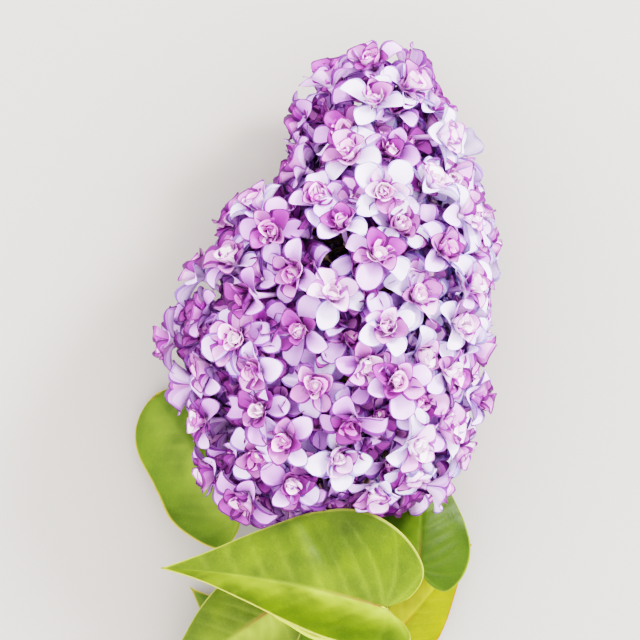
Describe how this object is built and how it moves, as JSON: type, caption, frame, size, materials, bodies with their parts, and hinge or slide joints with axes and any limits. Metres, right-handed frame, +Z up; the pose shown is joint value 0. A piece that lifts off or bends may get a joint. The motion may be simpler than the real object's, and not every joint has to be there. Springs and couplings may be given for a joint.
{
  "type": "cut lilac sprig",
  "caption": "Cut flowering sprig that lies flat: a short woody stem with heart-shaped leaves and a dense, tapering head of small double blossoms, for vases, bouquets and garden scenes.",
  "frame": {"origin": "centre of the bounding box's bottom face, at the level of the surface the sprig lies on", "axes": "+Y along the sprig from its cut end to the tip of its flower head, +Z up off the surface, +X to the right when seen from above with the tip pointing away"},
  "size_m": [0.129, 0.262, 0.0981],
  "materials": {
    "bark": "matt young bark with pale pores",
    "green_stalk": "soft green flower stalk, slightly waxy",
    "leaf_green": "waxy yellow-green leaf",
    "leaf_dark": "waxy mid-green leaf",
    "leaf_yellow": "waxy yellow leaf with an orange margin",
    "petal_lilac": "soft matt petals, pale lilac with purple inner petals"
  },
  "bodies": {
    "root": {"stem": "bark", "rachis": "green_stalk", "front_leaf": "leaf_green", "left_leaf": "leaf_green", "under_leaf": "leaf_green", "right_leaf": "leaf_dark", "lower_left_leaf": "leaf_yellow", "lower_right_leaf": "leaf_yellow", "branch_01": "petal_lilac", "branch_02": "petal_lilac", "branch_03": "petal_lilac", "branch_04": "petal_lilac", "branch_05": "petal_lilac", "branch_06": "petal_lilac", "branch_07": "petal_lilac", "branch_08": "petal_lilac", "branch_09": "petal_lilac", "branch_10": "petal_lilac", "branch_11": "petal_lilac", "branch_12": "petal_lilac", "branch_13": "petal_lilac", "branch_14": "petal_lilac", "branch_15": "petal_lilac", "branch_16": "petal_lilac", "branch_17": "petal_lilac", "branch_18": "petal_lilac", "tip_branch": "petal_lilac"}
  },
  "joints": []
}
